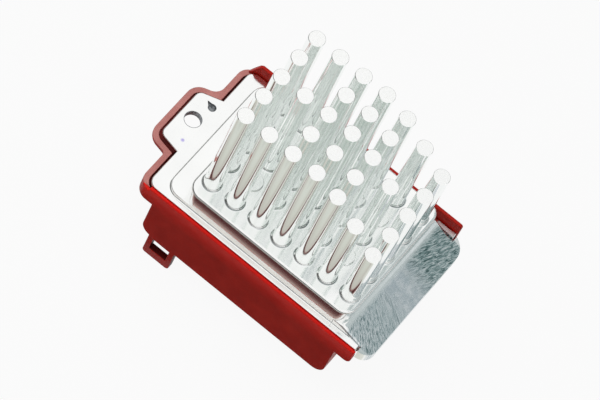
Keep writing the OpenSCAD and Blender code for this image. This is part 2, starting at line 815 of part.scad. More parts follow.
// A socket's wall, open below, with a notch for the plug's latch on the side that faces its loop
module socket_wall_at(at, l, loop_x, side) {
    difference() {
        translate([at.x, at.y, mouth_z])
            linear_extrude(socket_depth + floor_t / 2)
                difference() {
                    round_rect(
                        -l / 2 - socket_wall, l / 2 + socket_wall, -socket_half, socket_half,
                        socket_r + socket_wall
                    );
                    round_rect(-l / 2, l / 2, -socket_w / 2, socket_w / 2, socket_r);
                }
        translate([loop_x, at.y + side * (socket_w + socket_wall) / 2, mouth_z])
            cube([latch_notch_w, socket_wall + over, 2 * latch_notch_h], center = true);
    }
}

module housing() {
    color("firebrick")
    difference() {
        union() {
            difference() {
                union() {
                    across(front_y, far_y) box_profile(0, box_z0, -plate_t);
                    flange();
                }
                across(front_y + wall, far_y - wall) box_profile(wall, floor_z, over);
                translate([box_x1, front_y + wall, flange_z0 - over])
                    cube([rail_run + over, far_y - front_y - 2 * wall, flange_h + 2 * over]);
                translate([0, 0, flange_z0 - over]) linear_extrude(flange_h + 2 * over) screw_notch_outline();
                translate([rim_x0 + rim_w, front_y + wall, flange_z0 - over])
                    cube([
                        box_x0 - rim_x0 - rim_w,
                        far_y - front_y - 2 * wall,
                        flange_h - flange_floor_t + over
                    ]);
            }
            tab_rim();
            along(rim_x0 + rim_corner_r, rail_x1) front_lip_profile();
            far_wall();
            latch_loops();
            socket_wall_at(motor_at, motor_socket_l, box_x0 + loop_inset + loop_w / 2, -1);
            socket_wall_at(supply_at, supply_socket_l, box_x1 - loop_inset - loop_w / 2, 1);
            for (side = boss_sides)
                translate([mid_x + side.x * bare_x, side.y * bare_y, box_z0])
                    cylinder(d = pillar_d, h = board_z0 - box_z0);
        }
        for (side = boss_sides)
            translate([mid_x + side.x * bare_x, side.y * bare_y, box_z0 - over]) {
                cylinder(d = screw_hole_d, h = board_z0 - box_z0 + 2 * over);
                cylinder(d = recess_d, h = recess_h + over);
            }
        for (at = power_blades) blade_slot(at, power_blade_w, box_z0 - over, floor_z + over);
        for (at = signal_blades) blade_slot(at, signal_blade_w, box_z0 - over, floor_z + over);
    }
}

// Blades

// The slot for a flat strip that stands across X, with its width along Y
module blade_slot(at, w, z0, z1) {
    translate([at.x, at.y, (z0 + z1) / 2])
        cube([blade_t + 2 * slot_gap, w + 2 * slot_gap, z1 - z0], center = true);
}

// A blade: a tapered tip in the socket, a shoulder on the floor, a stem and a tail through the board
module blade(at, w) {
    tip_z = mouth_z + blade_sink;
    half = w / 2;
    stem = half * 0.8;
    tail = min(blade_tail_w / 2, stem * 0.7);
    right = [
        [half - blade_taper, tip_z],
        [half, tip_z + 1.6 * blade_taper],
        [half, floor_z],
        [half + blade_shoulder, floor_z],
        [half + blade_shoulder, floor_z + blade_shoulder_h],
        [stem, floor_z + blade_shoulder_h],
        [stem, board_z0],
        [tail, board_z0],
        [tail, board_z1 + blade_tail_out]
    ];
    left = [for (i = [len(right) - 1:-1:0]) [-right[i].x, right[i].y]];
    color("goldenrod")
    translate([0, at.y, 0])
        along(at.x - blade_t / 2, at.x + blade_t / 2)
            polygon(concat(right, left));
}

function tail_w(w) = 2 * min(blade_tail_w / 2, w / 2 * 0.8 * 0.7);

module motor_blade_positive() { blade(motor_blades[0], power_blade_w); }
module motor_blade_negative() { blade(motor_blades[1], power_blade_w); }
module supply_blade_positive() { blade(supply_blades[0], power_blade_w); }
module supply_blade_negative() { blade(supply_blades[1], power_blade_w); }
module control_blade() { blade(signal_blades[0], signal_blade_w); }
module sense_blade() { blade(signal_blades[1], signal_blade_w); }

// Board

module circuit_board() {
    color("darkgreen")
    difference() {
        translate([0, 0, board_z0])
            linear_extrude(board_t)
                round_rect(board_x0, board_x1, board_y0, board_y1, board_corner_r);
        for (side = boss_sides)
            translate([mid_x + side.x * bare_x, side.y * bare_y, board_z0 - over])
                cylinder(d = screw_hole_d, h = board_t + 2 * over);
        for (at = power_blades) blade_slot(at, tail_w(power_blade_w), board_z0 - over, board_z1 + over);
        for (at = signal_blades) blade_slot(at, tail_w(signal_blade_w), board_z0 - over, board_z1 + over);
        for (side = transistor_sides, i = [-1:1])
            translate([
                mid_x + side.x * (bare_x - lead_x),
                side.y * bare_y + i * lead_pitch,
                (board_z0 + board_z1) / 2
            ])
                cube([lead_t + 2 * slot_gap, lead_w + 2 * slot_gap, board_t + 2 * over], center = true);
    }
}

// Power transistors

// A transistor hanging under z = 0, with its screw's axis at the origin and its leads towards +X
module transistor() {
    body_x0 = -package_hole_in;
    body_x1 = package_l - package_hole_in;
    foot_z = board_z0 - lead_out - transistor_z;
    color("dimgray") {
        difference() {
            translate([0, 0, -package_t])
                linear_extrude(package_t)
                    difference() {
                        translate([body_x0, -package_w / 2]) square([package_l, package_w]);
                        for (side = [-1, 1]) translate([0, side * package_w / 2]) circle(package_notch_r);
                    }
            translate([0, 0, -package_t - over]) cylinder(d = screw_hole_d, h = package_t + 2 * over);
        }
        for (i = [-1:1])
            across(i * lead_pitch - lead_w / 2, i * lead_pitch + lead_w / 2)
                polygon([
                    [body_x1 - fuse_in, -lead_z],
                    [body_x1 - fuse_in, -lead_z + lead_t],
                    [lead_x + lead_t / 2, -lead_z + lead_t],
                    [lead_x + lead_t / 2, foot_z],
                    [lead_x - lead_t / 2, foot_z],
                    [lead_x - lead_t / 2, -lead_z]
                ]);
    }
}

module insulating_pad() {
    color("lightsteelblue")
    difference() {
        translate([-package_hole_in - insulator_margin, -package_w / 2 - insulator_margin, 0])
            cube([package_l + 2 * insulator_margin, package_w + 2 * insulator_margin, insulator_t]);
        translate([0, 0, -over]) cylinder(d = screw_hole_d, h = insulator_t + 2 * over);
    }
}

// Puts a transistor or its pad at its bare place, with its leads towards the middle
module at_transistor(side) {
    translate([mid_x + side.x * bare_x, side.y * bare_y, transistor_z])
        rotate([0, 0, side.x > 0 ? 180 : 0]) children();
}

module power_transistor_left() { at_transistor(transistor_sides[0]) transistor(); }
module power_transistor_right() { at_transistor(transistor_sides[1]) transistor(); }
module insulating_pad_left() { at_transistor(transistor_sides[0]) insulating_pad(); }
module insulating_pad_right() { at_transistor(transistor_sides[1]) insulating_pad(); }

// Screws

// A pan-head screw that points up, with its head's bearing face at z = 0
module screw(l) {
    dome = screw_head_h * 0.35;
    drive_d = screw_head_d * 0.45;
    color("lightgray")
    difference() {
        rotate_extrude()
            polygon([
                [0, -screw_head_h],
                [screw_head_d / 2 - dome, -screw_head_h],
                [screw_head_d / 2, dome - screw_head_h],
                [screw_head_d / 2, 0],
                [screw_d / 2, 0],
                [screw_d / 2, l - screw_d / 6],
                [screw_d / 3, l],
                [0, l]
            ]);
        translate([0, 0, -screw_head_h - over])
            cylinder(d = drive_d, h = screw_head_h * 0.55 + over, $fn = 6);
    }
}

module transistor_screws() {
    for (side = transistor_sides)
        translate([mid_x + side.x * bare_x, side.y * bare_y, seat_z])
            screw(ceiling_z + thread_l - seat_z);
}

module housing_screws() {
    for (side = boss_sides)
        translate([mid_x + side.x * bare_x, side.y * bare_y, box_z0 + recess_h])
            screw(boss_screw_z1 - box_z0 - recess_h);
}

// Small components

// Puts a component at its place on the board: on its top, or hanging below it
module on_top(at) { translate([at.x, at.y, board_z1]) children(); }
module below(at) { translate([at.x, at.y, board_z0]) mirror([0, 0, 1]) children(); }

module shunt_resistor() {
    color("peru")
    on_top(shunt_at)
        across(-shunt_w / 2, shunt_w / 2)
            polygon([
                [-shunt_l / 2 - shunt_foot, 0],
                [-shunt_l / 2 + shunt_t, 0],
                [-shunt_l / 2 + shunt_t, shunt_h - shunt_t],
                [shunt_l / 2 - shunt_t, shunt_h - shunt_t],
                [shunt_l / 2 - shunt_t, 0],
                [shunt_l / 2 + shunt_foot, 0],
                [shunt_l / 2 + shunt_foot, shunt_t],
                [shunt_l / 2, shunt_t],
                [shunt_l / 2, shunt_h],
                [-shunt_l / 2, shunt_h],
                [-shunt_l / 2, shunt_t],
                [-shunt_l / 2 - shunt_foot, shunt_t]
            ]);
}

module control_chip() {
    leg_pitch = chip_l / chip_side_legs;
    leg_w = leg_pitch * 0.36;
    leg_t = chip_t / 6;
    leg_out = leg_t * 0.8;
    leg_reach = leg_t * 4;
    lift = chip_t / 10;
    color("black")
    on_top(chip_at) {
        translate([-chip_l / 2, -chip_w / 2, lift]) cube([chip_l, chip_w, chip_t]);
        for (i = [0:chip_side_legs - 1], side = [0, 1])
            translate([(i + 0.5) * leg_pitch - chip_l / 2, 0, 0])
                mirror([0, side, 0])
                    along(-leg_w / 2, leg_w / 2)
                        polygon([
                            [chip_w / 2 - leg_t, chip_t / 2],
                            [chip_w / 2 - leg_t, chip_t / 2 + leg_t],
                            [chip_w / 2 + leg_t + leg_out, chip_t / 2 + leg_t],
                            [chip_w / 2 + leg_t + leg_out, leg_t],
                            [chip_w / 2 + leg_reach, leg_t],
                            [chip_w / 2 + leg_reach, 0],
                            [chip_w / 2 + leg_out, 0],
                            [chip_w / 2 + leg_out, chip_t / 2]
                        ]);
    }
}

module chip_resistors() {
    color("black")
    for (i = [0:2], j = [0:1])
        on_top(chip_res_at + [i * chip_res_pitch_x, -j * chip_res_pitch_y])
            translate([-chip_res_l / 2, -chip_res_w / 2, 0])
                cube([chip_res_l, chip_res_w, chip_res_t]);
}

// A can with a crimped groove above its rubber plug and a rolled end
module bulk_capacitor() {
    r = bulk_cap_d / 2;
    groove_z = bulk_cap_h / 5;
    groove = bulk_cap_d / 20;
    roll = bulk_cap_d / 12;
    color("midnightblue")
    below(bulk_cap_at)
        rotate_extrude()
            polygon([
                [0, 0],
                [r, 0],
                [r, groove_z - groove],
                [r - groove, groove_z],
                [r, groove_z + groove],
                [r, bulk_cap_h - roll],
                [r - roll * 0.3, bulk_cap_h - roll * 0.3],
                [r - roll, bulk_cap_h],
                [0, bulk_cap_h]
            ]);
}

module filter_capacitors() {
    edge = film_cap_w * 0.15;
    color("goldenrod")
    for (side = [-1, 1])
        below(film_cap_at + [side * film_cap_pitch / 2, 0])
            linear_extrude(film_cap_h)
                round_rect(-film_cap_w / 2, film_cap_w / 2, -film_cap_l / 2, film_cap_l / 2, edge);
}

// A round lead along Y from a component's end, bent at right angles down to the board
module wire_lead(from_y, lift) {
    end_y = from_y + wire_run;
    translate([0, from_y - fuse_in, lift]) rotate([-90, 0, 0]) cylinder(d = wire_d, h = wire_run + fuse_in);
    translate([0, end_y, lift]) sphere(d = wire_d);
    translate([0, end_y, 0]) cylinder(d = wire_d, h = lift);
}

module suppressor_diode() {
    color("black")
    below(diode_at) {
        lift = diode_d / 2;
        translate([0, -diode_l / 2, lift]) rotate([-90, 0, 0]) cylinder(d = diode_d, h = diode_l);
        wire_lead(diode_l / 2, lift);
        mirror([0, 1, 0]) wire_lead(diode_l / 2, lift);
    }
}

// The thermal fuse lies along X against the platform's underside, on long leads from the board
module thermal_fuse() {
    lift = ceiling_z - board_z1 - fuse_d / 2;
    color("gainsboro")
    on_top(fuse_at)
        rotate([0, 0, -90]) {
            translate([0, 0, lift])
                rotate([-90, 0, 0])
                    rotate_extrude()
                        polygon([
                            [0, -fuse_l / 2],
                            [fuse_d / 2, -fuse_l / 2],
                            [fuse_d / 2, fuse_l / 2],
                            [wire_d / 2, fuse_l / 2 + fuse_nose],
                            [0, fuse_l / 2 + fuse_nose]
                        ]);
            wire_lead(fuse_l / 2 + fuse_nose, lift);
            mirror([0, 1, 0]) wire_lead(fuse_l / 2, lift);
        }
}

heat_sink();
housing();
circuit_board();
power_transistor_left();
power_transistor_right();
insulating_pad_left();
insulating_pad_right();
transistor_screws();
housing_screws();
motor_blade_positive();
motor_blade_negative();
supply_blade_positive();
supply_blade_negative();
control_blade();
sense_blade();
shunt_resistor();
control_chip();
chip_resistors();
bulk_capacitor();
filter_capacitors();
suppressor_diode();
thermal_fuse();
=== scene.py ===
# %% [markdown]
# # A blower motor resistor, dressed for a studio picture
#
# The part sets the speed of a car's cabin fan. A cast aluminium heat sink holds 31 round pins into
# the air stream, and a red moulded housing under it holds the control board and the plug sockets.
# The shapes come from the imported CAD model, which is loaded first and never moved. What is left for
# Blender is the picture: soft edges, the finishes, the light and the camera.

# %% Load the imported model
import json
import math

import bmesh
import bpy
from mathutils import Matrix, Vector


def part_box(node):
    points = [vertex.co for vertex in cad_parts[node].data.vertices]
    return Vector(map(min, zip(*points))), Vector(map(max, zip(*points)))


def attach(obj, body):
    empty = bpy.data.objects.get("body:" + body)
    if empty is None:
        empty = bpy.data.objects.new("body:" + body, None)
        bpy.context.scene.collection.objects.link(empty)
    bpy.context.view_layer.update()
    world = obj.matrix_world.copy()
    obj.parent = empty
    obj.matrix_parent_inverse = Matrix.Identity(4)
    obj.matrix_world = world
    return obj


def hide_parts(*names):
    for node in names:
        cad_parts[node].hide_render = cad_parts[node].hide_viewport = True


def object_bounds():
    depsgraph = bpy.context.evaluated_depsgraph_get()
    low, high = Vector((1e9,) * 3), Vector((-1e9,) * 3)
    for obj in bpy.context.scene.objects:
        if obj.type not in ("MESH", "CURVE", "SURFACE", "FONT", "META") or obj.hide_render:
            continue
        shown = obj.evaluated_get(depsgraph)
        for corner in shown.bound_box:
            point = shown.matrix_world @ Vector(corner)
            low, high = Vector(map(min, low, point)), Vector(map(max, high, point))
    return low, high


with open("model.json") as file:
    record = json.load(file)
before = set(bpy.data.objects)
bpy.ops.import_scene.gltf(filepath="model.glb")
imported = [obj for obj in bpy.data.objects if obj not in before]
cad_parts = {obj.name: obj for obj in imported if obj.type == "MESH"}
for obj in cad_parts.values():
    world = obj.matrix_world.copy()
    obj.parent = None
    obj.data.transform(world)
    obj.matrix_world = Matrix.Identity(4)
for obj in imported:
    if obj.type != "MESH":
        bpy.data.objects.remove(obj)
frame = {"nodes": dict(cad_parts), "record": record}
nodes = frame["nodes"]
cad_low, cad_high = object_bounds()
bpy.ops.object.select_all(action="DESELECT")
print("nodes:", len(nodes), "box in mm:", [round(1000 * s, 1) for s in cad_high - cad_low])

# %% [markdown]
# ## Places to measure from
#
# A finish often changes from one region of a casting to the next: the pins are drawn upwards in
# their bores, the lip is marbled. Materials can find these regions by height and length if the
# script knows where they begin. So a few places are read from the model here, and the rest are
# measured from them, in metres.

# %% Read the heights and ends of the regions
platform_roof = 0.005
rail_past_platform = 0.0076
housing_low, housing_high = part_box("housing")
part_left, part_right = housing_low.x, housing_high.x
platform_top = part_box("insulating_pad_left")[1].z + platform_roof
platform_end = part_right - rail_past_platform
floor_height = cad_low.z
middle = Vector((0.045, 0, 0))
print("platform top", round(platform_top, 4), "lip starts at", round(platform_end, 4),
      "floor", round(floor_height, 4))

# %% [markdown]
# ## The camera
#
# The picture was taken from above the front edge with a long lens, which keeps the pins nearly
# parallel. A camera is easiest to repeat from its three axes: to the right of the picture, up the
# picture, and back towards the photographer. They go straight into the camera's matrix, so nothing
# has to be aimed by eye.

# %% Set up the camera
camera_data = bpy.data.cameras.new("studio_camera")
camera = bpy.data.objects.new("studio_camera", camera_data)
bpy.context.scene.collection.objects.link(camera)
picture_right = Vector((0.77504, 0.58492, 0.23914))
picture_up = Vector((-0.62424, 0.64988, 0.43357))
picture_back = Vector((0.09819, -0.48532, 0.86881))
camera_place = Vector((0.174836, -0.658041, 1.180694))
camera_turn = Matrix((picture_right, picture_up, picture_back)).transposed()
camera.matrix_world = Matrix.Translation(camera_place) @ camera_turn.to_4x4()
camera_data.lens = 265.1
camera_data.sensor_width = 36
camera_data.clip_start = 0.05
camera_data.clip_end = 20
bpy.context.scene.camera = camera
print("camera", [round(c, 3) for c in camera.location], "lens", round(camera_data.lens, 1))

# %% [markdown]
# ## The white sweep
#
# A product picture like this one has nothing behind the object. The floor could simply be lit until
# it burns out, but then the object would burn out as well. So the floor shows plain white to the
# camera and to mirrors, and keeps a share of ordinary matt paper that can still take a soft shadow.

# %% Lay the floor
sweep_size = 8
bpy.ops.mesh.primitive_plane_add(size=sweep_size, location=(middle.x, middle.y, floor_height))
floor = bpy.context.object
floor.name = "studio_floor"
bpy.ops.object.transform_apply(location=True, rotation=True, scale=True)
print("floor at", round(floor_height * 1000, 1), "mm")

# %% [markdown]
# Every material from here on is a tree of nodes. Nodes could be added and joined one line at a time,
# but a helper that fills all the sockets of a new node at once keeps each tree in sight. A socket
# takes either a plain value or a link from another node.

# %% Fill a tree with nodes
def empty_tree(owner):
    """The cleared node tree of a material or a world."""
    owner.use_nodes = True
    owner.node_tree.nodes.clear()
    return owner.node_tree


def add_node(tree, kind, sockets, **settings):
    """Adds a node with its settings, and fills its sockets with values or links."""
    node = tree.nodes.new("ShaderNode" + kind)
    for name, value in settings.items():
        setattr(node, name, value)
    for socket, value in sockets.items():
        if isinstance(value, bpy.types.NodeSocket):
            tree.links.new(value, node.inputs[socket])
        else:
            node.inputs[socket].default_value = value
    return node


# %% Paint the floor
def seen_directly(tree):
    """1 where the camera sees a surface, also in a mirror or through glass, and 0 elsewhere."""
    rays = add_node(tree, "LightPath", {}).outputs
    seen = rays["Is Camera Ray"]
    for kind in ("Is Glossy Ray", "Is Transmission Ray"):
        seen = add_node(tree, "Math", {0: seen, 1: rays[kind]}, operation="MAXIMUM").outputs[0]
    return seen


paper_grey = 0.55
white_share = 0.93
sweep_white = bpy.data.materials.new("sweep_white")
tree = empty_tree(sweep_white)
paper = add_node(tree, "BsdfDiffuse", {"Color": (paper_grey, paper_grey, paper_grey, 1)})
glow = add_node(tree, "Emission", {"Strength": 1.0})
share = add_node(tree, "Math", {0: seen_directly(tree), 1: white_share}, operation="MULTIPLY")
mix = add_node(tree, "MixShader", {0: share.outputs[0], 1: paper.outputs[0], 2: glow.outputs[0]})
add_node(tree, "OutputMaterial", {"Surface": mix.outputs[0]})
floor.data.materials.append(sweep_white)
print("share of plain white in the floor:", white_share)

# %% [markdown]
# ## The light
#
# Metal is drawn by what it mirrors, and plastic by the lamps. So the two jobs are kept apart: a
# large soft box, overhead and a little to the left, lights the plastic and the floor, and mirrors
# don't see it, because the bright metal would burn out. The housing's walls stand nearly in line
# with that light and get little of it, so they look much darker than the top of the rim.

# %% Hang the soft box
box_size = 1.2
box_distance = 1.1
box_radiance = 2.1
box_data = bpy.data.lights.new("soft_box_above", "AREA")
box_data.shape = "SQUARE"
box_data.size = box_size
box_data.energy = box_radiance * math.pi * box_size * box_size
soft_box = bpy.data.objects.new("soft_box_above", box_data)
bpy.context.scene.collection.objects.link(soft_box)
box_aim = middle + Vector((0, 0, 0.01))
box_away = Vector((-0.25, -0.02, 0.97)).normalized()
box_turn = box_away.to_track_quat("Z", "Y").to_matrix().to_4x4()
soft_box.matrix_world = Matrix.Translation(box_aim + box_distance * box_away) @ box_turn
soft_box.visible_glossy = False
print("soft box gives", round(box_data.energy, 1), "watts")

# %% [markdown]
# The room itself gives a weak, even light. The camera and mirrors see it as white, so the picture
# stays clean when the part is looked at from the side. Between bright pins, light is mirrored again
# and again, so glossy bounces may be as many as all bounces: with fewer, the gaps turn black.

# %% Light the room
room_strength = 0.27
room = bpy.data.worlds.new("studio_room")
bpy.context.scene.world = room
tree = empty_tree(room)
weak = add_node(tree, "Background", {"Color": (0.93, 0.97, 1.0, 1), "Strength": room_strength})
white = add_node(tree, "Background", {"Color": (1, 1, 1, 1), "Strength": 1.0})
mix = add_node(tree, "MixShader",
               {0: seen_directly(tree), 1: weak.outputs[0], 2: white.outputs[0]})
add_node(tree, "OutputWorld", {"Surface": mix.outputs[0]})
bpy.context.scene.view_settings.view_transform = "Standard"
bpy.context.scene.cycles.glossy_bounces = bpy.context.scene.cycles.max_bounces
print("room light:", room_strength, "bounces:", bpy.context.scene.cycles.glossy_bounces)

# %% [markdown]
# ## What the metal mirrors
#
# In a plain white room, polished metal is plain white too, and its edges vanish. Photographers
# stand grey cards round a shiny part to draw its edges, and so do the next cells. Here a dark drape
# goes round the table. It draws the plate's and the platform's rounded edges as thin lines, and it
# is darker in front than behind. It is a tube without ends. Its upper edge is raised on the left,
# where those edges need more of it, and kept low on the right, where the sloping lip would mirror
# it. Only mirrors see it: the camera, the shadows and the matt surfaces don't.

# %% Make a card's colours
def colour_ramp(tree, value, stops):
    """Turns a value into the colours of stops, which lie between 0 and 1."""
    ramp = add_node(tree, "ValToRGB", {0: value})
    marks = ramp.color_ramp.elements
    while len(marks) < len(stops):
        marks.new(0.5)
    for mark, (at, colour) in zip(marks, stops):
        mark.position = at
        mark.color = (*colour, 1)
    return ramp.outputs[0]


def glowing_card(name, stops, patch_scale=None):
    """A card's material, with the colours of stops in patches, or else at places along Y."""
    material = bpy.data.materials.new(name)
    tree = empty_tree(material)
    place = add_node(tree, "TexCoord", {}).outputs["Object"]
    if patch_scale:
        patches = {"Vector": place, "Scale": patch_scale, "Detail": 3.0}
        value = add_node(tree, "TexNoise", patches).outputs["Fac"]
    else:
        first, last = stops[0][0], stops[-1][0]
        front_to_back = add_node(tree, "SeparateXYZ", {0: place}).outputs["Y"]
        ends = {"Value": front_to_back, "From Min": first, "From Max": last}
        value = add_node(tree, "MapRange", ends).outputs[0]
        stops = [((at - first) / (last - first), colour) for at, colour in stops]
    glow = add_node(tree, "Emission", {"Color": colour_ramp(tree, value, stops)})
    add_node(tree, "OutputMaterial", {"Surface": glow.outputs[0]})
    print(name, "has", len(stops), "colours")
    return material


# %% Hang the drape
def mirrors_only(card, material):
    """Gives a card its material and leaves it seen by mirrors only."""
    card.data.materials.append(material)
    card.visible_camera = False
    card.visible_diffuse = False
    card.visible_shadow = False
    card.visible_transmission = False
    print(card.name, "is seen by mirrors only")


drape_radius = 1.2
drape_height = 0.18
drape_rise = 0.67
drape_middle = floor_height + drape_height / 2
bpy.ops.mesh.primitive_cylinder_add(
    vertices=64, radius=drape_radius, depth=drape_height, end_fill_type="NOTHING",
    location=(middle.x, middle.y, drape_middle))
drape = bpy.context.object
drape.name = "drape_round_table"
bpy.ops.object.transform_apply(location=True, rotation=True, scale=True)
for corner in drape.data.vertices:
    if corner.co.z > drape_middle:
        corner.co.z += drape_rise * (drape_radius - corner.co.x) / (2 * drape_radius)
drape_grey = [(-drape_radius, (0.06, 0.065, 0.065)), (0.0, (0.12, 0.125, 0.12)),
              (0.5, (0.28, 0.285, 0.275)), (drape_radius, (0.36, 0.365, 0.355))]
mirrors_only(drape, glowing_card("drape_grey", drape_grey))

# %% [markdown]
# The sloping lip looks up to the right, so a card hangs there and gives it its cool grey. A plain
# card would leave the lip as flat as paint. This one is mottled, like the shine of a cast face.

# %% Hang the lip's card
card_size = 0.8
card_distance = 0.8
card_away = Vector((0.60, 0.485, 0.673)).normalized()
bpy.ops.mesh.primitive_plane_add(size=card_size)
lip_card = bpy.context.object
lip_card.name = "card_beside_lip"
card_turn = card_away.to_track_quat("Z", "Y").to_matrix().to_4x4()
lip_card.matrix_world = Matrix.Translation(middle + card_distance * card_away) @ card_turn
card_teal = [(0.34, (0.25, 0.315, 0.315)), (0.5, (0.48, 0.54, 0.54)), (0.66, (0.84, 0.87, 0.90))]
mirrors_only(lip_card, glowing_card("card_teal", card_teal, patch_scale=14.0))

# %% [markdown]
# The front needs cards close by, because the front pins and the platform's wall mirror the table
# just in front of the part. A mat gives the pins their grey, and darkens further out, which they
# mirror higher up. One large picture could hold all this, but bands of grey along Y are enough.

# %% Lay the mat
def flat_card(name, low, high, material):
    """A flat card between two corners: X runs along one side, and Y and Z along the other."""
    bpy.ops.mesh.primitive_plane_add(size=1)
    card = bpy.context.object
    card.name = name
    for corner in card.data.vertices:
        side = high if corner.co.x > 0 else low
        end = high if corner.co.y > 0 else low
        corner.co = (side[0], end[1], end[2])
    mirrors_only(card, material)


mat_grey = [(-0.350, (0.34, 0.34, 0.33)), (-0.120, (0.26, 0.255, 0.25)),
            (-0.086, (0.22, 0.20, 0.195)), (-0.073, (0.62, 0.635, 0.585)),
            (-0.068, (0.69, 0.71, 0.655)), (-0.058, (0.63, 0.635, 0.575)),
            (-0.050, (0.55, 0.52, 0.475)), (-0.046, (0.62, 0.62, 0.565)),
            (-0.031, (0.76, 0.77, 0.715))]
mat_half = 0.3
mat_height = floor_height + 0.0005
flat_card("mat_in_front", (middle.x - mat_half, mat_grey[0][0], mat_height),
          (middle.x + mat_half, mat_grey[-1][0], mat_height), glowing_card("mat_grey", mat_grey))

# %% [markdown]
# Three narrow cards follow. A strip along the thin red lip deepens the lip's image in the wall, and
# a pale strip above the front is what the corner at the wall's foot mirrors. An apron keeps the mat
# out of the red front's own gloss.

# %% Set the strips and the apron
strip_maroon = [(-0.0310, (0.52, 0.44, 0.40)), (-0.0304, (0.26, 0.14, 0.13)),
                (-0.0299, (0.10, 0.035, 0.035)), (-0.0294, (0.055, 0.016, 0.017)),
                (-0.0287, (0.08, 0.025, 0.026)), (-0.0280, (0.17, 0.08, 0.075)),
                (-0.02705, (0.44, 0.34, 0.30))]
strip_height = -0.00025
flat_card("strip_along_lip", (part_left, strip_maroon[0][0], strip_height),
          (part_right, strip_maroon[-1][0], strip_height),
          glowing_card("strip_maroon", strip_maroon))

foot_beige = [(-0.0562, (0.50, 0.42, 0.36)), (-0.0538, (0.72, 0.66, 0.60)),
              (-0.0510, (0.95, 0.94, 0.92))]
foot_overhang = 0.02
foot_low, foot_high = 0.0507, 0.0536
flat_card("strip_above_front", (part_left - foot_overhang, foot_beige[0][0], foot_low),
          (part_right + foot_overhang, foot_beige[-1][0], foot_high),
          glowing_card("foot_beige", foot_beige))

apron_dark = [(0.3, (0.12, 0.05, 0.045)), (0.7, (0.16, 0.07, 0.06))]
apron_front = -0.0296
apron_low, apron_high = floor_height + 0.002, -0.006
flat_card("apron_in_front", (part_left, apron_front, apron_low),
          (part_right, apron_front, apron_high),
          glowing_card("apron_dark", apron_dark, patch_scale=200.0))

# %% [markdown]
# Seen from the sides and the back, the pins mirror the table further off. A wide grey ring lies
# there, so that they look like metal from all sides. A disc is inset and its middle is taken out.

# %% Lay the ring round the part
ring_radius = 0.55
ring_width = 0.42
ring_height = floor_height + 0.0002
bpy.ops.mesh.primitive_circle_add(vertices=64, radius=ring_radius, fill_type="NGON",
                                  location=(middle.x, middle.y, ring_height))
ring = bpy.context.object
ring.name = "ring_round_part"
bpy.ops.object.transform_apply(location=True, rotation=True, scale=True)
bpy.ops.object.mode_set(mode="EDIT")
bpy.ops.mesh.select_mode(type="FACE")
bpy.ops.mesh.select_all(action="SELECT")
bpy.ops.mesh.inset(thickness=ring_width)
bpy.ops.mesh.delete(type="FACE")
bpy.ops.object.mode_set(mode="OBJECT")
ring_grey = [(0.35, (0.24, 0.25, 0.25)), (0.65, (0.44, 0.45, 0.44))]
mirrors_only(ring, glowing_card("ring_grey", ring_grey, patch_scale=12.0))
print("ring faces:", len(ring.data.polygons))

# %% [markdown]
# ## Rounded edges
#
# No casting or moulding has knife-sharp edges, and a rounded edge is what catches the light. The
# CAD pieces could be bevelled with a modifier, but their meshes are loose triangles, which a bevel
# can't follow. So each is copied, and the copy's triangles are merged and joined into whole faces.

# %% Copy a piece and join its triangles
merge_distance = 2e-7
flat_bend = 0.3


def joined_copy(node, name):
    """A copy of a CAD piece with its triangles joined into whole faces, left in edit mode."""
    bpy.ops.object.select_all(action="DESELECT")
    piece = bpy.data.objects.new(name, nodes[node].data.copy())
    bpy.context.scene.collection.objects.link(piece)
    bpy.context.view_layer.objects.active = piece
    piece.select_set(True)
    bpy.ops.object.mode_set(mode="EDIT")
    bpy.ops.mesh.select_mode(type="EDGE")
    bpy.ops.mesh.select_all(action="SELECT")
    bpy.ops.mesh.remove_doubles(threshold=merge_distance)
    bpy.ops.mesh.customdata_custom_splitnormals_clear()
    bpy.ops.mesh.mark_sharp(clear=True)
    bpy.ops.mesh.dissolve_limited(angle_limit=math.radians(flat_bend))
    bpy.ops.mesh.select_all(action="DESELECT")
    return piece


# %% [markdown]
# The sharp edges are then picked by the angle between their faces and bevelled. The screw hole and
# the punch mark stay sharp, as a punch leaves them. Weighted normals keep the large faces looking
# flat right up to the rounding.

# %% Find what stays sharp
tab_bore = frame["record"]["mounts"][0]
tab_hole = Vector(tab_bore["pos_m"])
hole_radius = tab_bore["dims"]["r_mm"] / 1000
plate_top = tab_hole.z
punch_mark = Vector((0.0019, 0.0074, plate_top))
mark_reach = 0.0032
sharp_places = [(tab_hole.xy, hole_radius + 0.0007), (punch_mark.xy, mark_reach + 0.0001)]


def stays_sharp(edge):
    """True for the edges of the screw hole and the punch mark."""
    return any(all((v.co.xy - place).length < reach for v in edge.verts)
               for place, reach in sharp_places)


print("hole radius in mm:", round(1000 * hole_radius, 2))

# %% Round the edges of a copy
sharp_bend = 38
smooth_bend = 32


